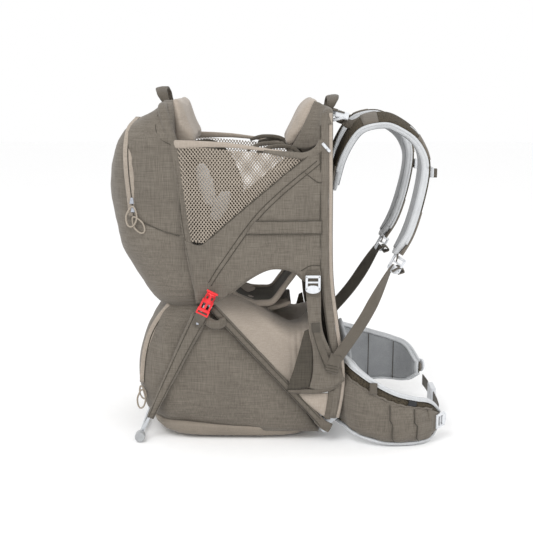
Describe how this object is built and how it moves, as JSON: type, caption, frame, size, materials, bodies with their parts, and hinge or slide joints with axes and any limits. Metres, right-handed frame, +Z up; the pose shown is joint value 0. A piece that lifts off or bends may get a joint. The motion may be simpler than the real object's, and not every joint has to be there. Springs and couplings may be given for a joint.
{
  "type": "child carrier backpack",
  "caption": "Framed backpack with an open child cockpit, mesh windows, leg holes, storage bags, folding kickstand, shoulder straps and padded hip belt.",
  "frame": {"origin": "on the flat underside of the lower bag, on the middle plane", "axes": "+X forward for the wearer, +Y to the wearer's left, +Z up"},
  "size_m": [0.6746, 0.372, 0.6995],
  "materials": {
    "shell_fabric": "heathered ripstop weave",
    "lining_fabric": "brushed tricot",
    "window_mesh": "open hexagon mesh",
    "pad_fabric": "spacer mesh over foam",
    "webbing": "woven polyester webbing",
    "lock_plastic": "moulded acetal",
    "buckle_plastic": "moulded acetal",
    "frame_alloy": "drawn tube",
    "wire_steel": "drawn wire",
    "foot_rubber": "moulded",
    "zip_metal": "painted zinc slider"
  },
  "bodies": {
    "carrier": {"back_frame_tube": "frame_alloy", "back_panel": "lining_fabric", "base_bracket_left": "buckle_plastic", "base_bracket_right": "buckle_plastic", "base_pin_left": "wire_steel", "base_pin_right": "wire_steel", "boot_bag": "shell_fabric", "child_harness": "pad_fabric", "front_face_pad": "lining_fabric", "front_grab_loop": "webbing", "hip_buckle_socket": "buckle_plastic", "hip_pocket_left": "shell_fabric", "hip_pocket_right": "shell_fabric", "hip_webbing_left": "webbing", "hip_wing_left": "pad_fabric", "hip_wing_right": "pad_fabric", "lifter_webbing_left": "webbing", "lifter_webbing_right": "webbing", "lower_gusset_left": "lining_fabric", "lower_gusset_right": "lining_fabric", "lower_webbing_left": "webbing", "lower_webbing_right": "webbing", "lower_zip_track": "lining_fabric", "lumbar_pad": "pad_fabric", "seat_pad": "lining_fabric", "shoulder_strap_left": "pad_fabric", "shoulder_strap_right": "pad_fabric", "side_fabric_left": "shell_fabric", "side_fabric_right": "shell_fabric", "side_mesh_left": "window_mesh", "side_mesh_right": "window_mesh", "stirrup_strap_left": "webbing", "stirrup_strap_right": "webbing"},
    "hoop": {"rear_hoop_tube": "frame_alloy", "rear_bag": "shell_fabric", "rear_head_pad": "lining_fabric", "rear_grab_loop": "webbing", "upper_zip_track": "lining_fabric", "frame_lock_socket_left": "lock_plastic", "frame_lock_socket_right": "lock_plastic"},
    "kickstand": {"kick_leg_left": "wire_steel", "kick_leg_right": "wire_steel", "foot_bar": "foot_rubber"},
    "upper_slider_low": {"upper_zip_slider_low": "zip_metal"},
    "upper_slider_high": {"upper_zip_slider_high": "zip_metal"},
    "lower_slider": {"lower_zip_slider": "zip_metal"},
    "hip_plug": {"hip_buckle_plug": "buckle_plastic", "hip_webbing_right": "webbing"},
    "lock_plug_left": {"frame_lock_plug_left": "lock_plastic"},
    "sternum_left": {"sternum_slider_left": "buckle_plastic"},
    "strap_adjuster_left": {"strap_lock_left": "buckle_plastic"},
    "lifter_adjuster_left": {"lifter_lock_left": "buckle_plastic"},
    "stirrup_adjuster_left": {"stirrup_lock_left": "buckle_plastic"},
    "hip_adjuster_left": {"hip_lock_left": "buckle_plastic"},
    "lock_plug_right": {"frame_lock_plug_right": "lock_plastic"},
    "sternum_right": {"sternum_slider_right": "buckle_plastic"},
    "strap_adjuster_right": {"strap_lock_right": "buckle_plastic"},
    "lifter_adjuster_right": {"lifter_lock_right": "buckle_plastic"},
    "stirrup_adjuster_right": {"stirrup_lock_right": "buckle_plastic"},
    "hip_adjuster_right": {"hip_lock_right": "buckle_plastic"}
  },
  "joints": [
    {"name": "frame_fold", "type": "hinge", "parent": "carrier", "child": "hoop", "pos_m": [0.162, 0, 0.03], "axis": [0, 1, 0], "range_deg": [0, 22], "deforming": ["boot_bag", "rear_head_pad", "lower_gusset_left", "lower_gusset_right"]},
    {"name": "kickstand_fold", "type": "hinge", "parent": "hoop", "child": "kickstand", "pos_m": [-0.071, 0, 0.287], "axis": [0, 1, 0], "range_deg": [-63.8, 0]},
    {"name": "upper_slider_low_travel", "type": "slide", "parent": "hoop", "child": "upper_slider_low", "axis": [-0.0327, 0, 0.9995], "range_m": [0, 0.004]},
    {"name": "upper_slider_high_travel", "type": "slide", "parent": "hoop", "child": "upper_slider_high", "axis": [-0.0327, 0, 0.9995], "range_m": [0, 0.12]},
    {"name": "lower_slider_travel", "type": "slide", "parent": "carrier", "child": "lower_slider", "axis": [0.3035, 0, 0.9528], "range_m": [0, 0.14]},
    {"name": "hip_buckle_release", "type": "slide", "parent": "carrier", "child": "hip_plug", "axis": [0, -1, 0], "range_m": [0, 0.03], "deforming": ["hip_webbing_right"]},
    {"name": "frame_lock_release_left", "type": "slide", "parent": "hoop", "child": "lock_plug_left", "axis": [-0.4466, 0, -0.8948], "range_m": [0, 0.022]},
    {"name": "sternum_slide_left", "type": "slide", "parent": "carrier", "child": "sternum_left", "axis": [0, 0, 1], "range_m": [-0.03, 0.03]},
    {"name": "strap_adjuster_tilt_left", "type": "hinge", "parent": "carrier", "child": "strap_adjuster_left", "pos_m": [0.28814, 0.11913, 0.35281], "axis": [0, 1, 0], "range_deg": [0, 35]},
    {"name": "lifter_adjuster_tilt_left", "type": "hinge", "parent": "carrier", "child": "lifter_adjuster_left", "pos_m": [0.185, 0.086, 0.63901], "axis": [0, 1, 0], "range_deg": [0, 30]},
    {"name": "stirrup_adjuster_tilt_left", "type": "hinge", "parent": "carrier", "child": "stirrup_adjuster_left", "pos_m": [0.134, 0.1645, 0.336], "axis": [1, 0, 0], "range_deg": [0, 40]},
    {"name": "hip_adjuster_tilt_left", "type": "hinge", "parent": "carrier", "child": "hip_adjuster_left", "pos_m": [0.40007, 0.108, 0.048], "axis": [0, 0, 1], "range_deg": [-20, 20]},
    {"name": "frame_lock_release_right", "type": "slide", "parent": "hoop", "child": "lock_plug_right", "axis": [-0.4466, 0, -0.8948], "range_m": [0, 0.022]},
    {"name": "sternum_slide_right", "type": "slide", "parent": "carrier", "child": "sternum_right", "axis": [0, 0, 1], "range_m": [-0.03, 0.03]},
    {"name": "strap_adjuster_tilt_right", "type": "hinge", "parent": "carrier", "child": "strap_adjuster_right", "pos_m": [0.28814, -0.11913, 0.35281], "axis": [0, 1, 0], "range_deg": [0, 35]},
    {"name": "lifter_adjuster_tilt_right", "type": "hinge", "parent": "carrier", "child": "lifter_adjuster_right", "pos_m": [0.185, -0.086, 0.63901], "axis": [0, 1, 0], "range_deg": [0, 30]},
    {"name": "stirrup_adjuster_tilt_right", "type": "hinge", "parent": "carrier", "child": "stirrup_adjuster_right", "pos_m": [0.134, -0.1645, 0.336], "axis": [-1, 0, 0], "range_deg": [0, 40]},
    {"name": "hip_adjuster_tilt_right", "type": "hinge", "parent": "carrier", "child": "hip_adjuster_right", "pos_m": [0.40005, -0.108, 0.048], "axis": [0, 0, 1], "range_deg": [-20, 20]}
  ],
  "couplings": [
    {"joint": "kickstand_fold", "follows": "frame_fold", "ratio": -2.9}
  ]
}
